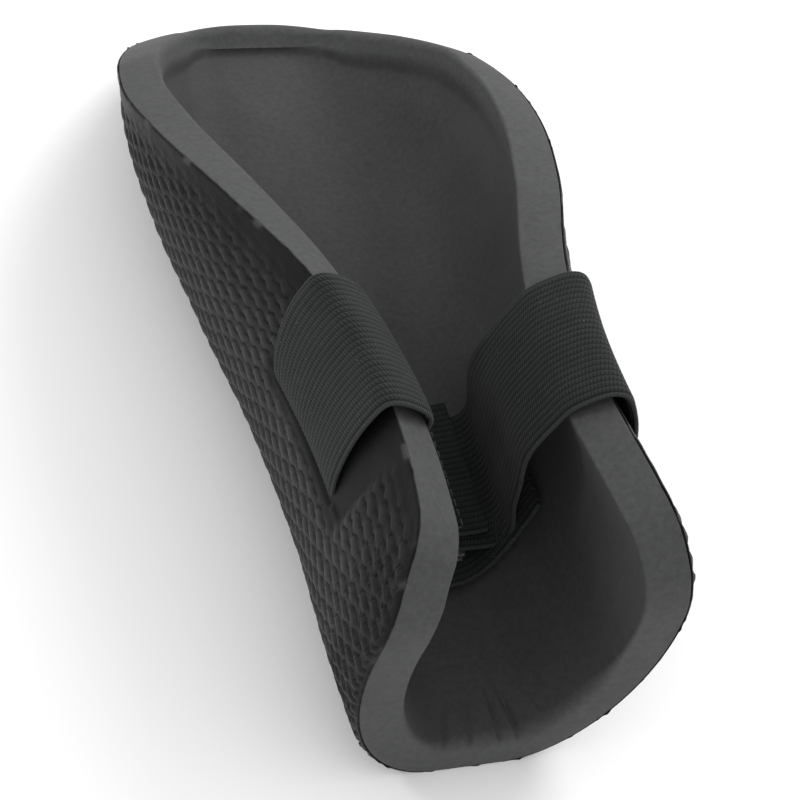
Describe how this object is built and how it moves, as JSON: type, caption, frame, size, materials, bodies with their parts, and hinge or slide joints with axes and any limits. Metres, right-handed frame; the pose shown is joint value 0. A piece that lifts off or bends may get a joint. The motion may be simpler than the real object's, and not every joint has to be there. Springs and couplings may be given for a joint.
{
  "type": "foam knee pad",
  "caption": "Moulded foam knee pad: a deep trough that widens to a shallow cup, with a textured outer skin and a ribbed elastic strap with a hook-and-loop join.",
  "frame": {"origin": "on the flat sole, on the centre line, 80 mm in from the narrow shin end", "axes": "+Z out of the open trough, +Y along the leg towards the wide thigh end, +X to the right"},
  "size_m": [0.1096, 0.2415, 0.0862],
  "materials": {
    "foam": "matte closed-cell foam",
    "tread": "embossed, slightly glossy",
    "elastic": "ribbed woven elastic",
    "loop": "brushed loop pile",
    "hook": "small moulded hooks",
    "thread": "sewing thread"
  },
  "bodies": {
    "pad": {"inner_foam": "foam", "outer_tread": "tread", "strap_core": "elastic", "strap_right_side": "elastic", "strap_left_side": "elastic", "strap_right_leg": "elastic", "strap_left_leg": "elastic"},
    "strap_join": {"strap_left_end": "elastic", "loop_tape": "loop", "loop_stitching": "thread", "strap_left_tail": "elastic"},
    "hook_end": {"strap_right_end": "elastic", "strap_right_hem": "elastic", "hook_tape": "hook", "hook_stitching": "thread"}
  },
  "joints": [
    {"name": "strap_pull", "type": "slide", "parent": "pad", "child": "strap_join", "axis": [0, 0, 1], "range_m": [0, 0.14], "deforming": ["strap_right_leg", "strap_left_leg", "strap_left_tail"]},
    {"name": "hook_peel", "type": "hinge", "parent": "strap_join", "child": "hook_end", "pos_m": [0.0115, -0.014, 0.0187], "axis": [0, 1, 0], "range_deg": [0, 95]}
  ]
}
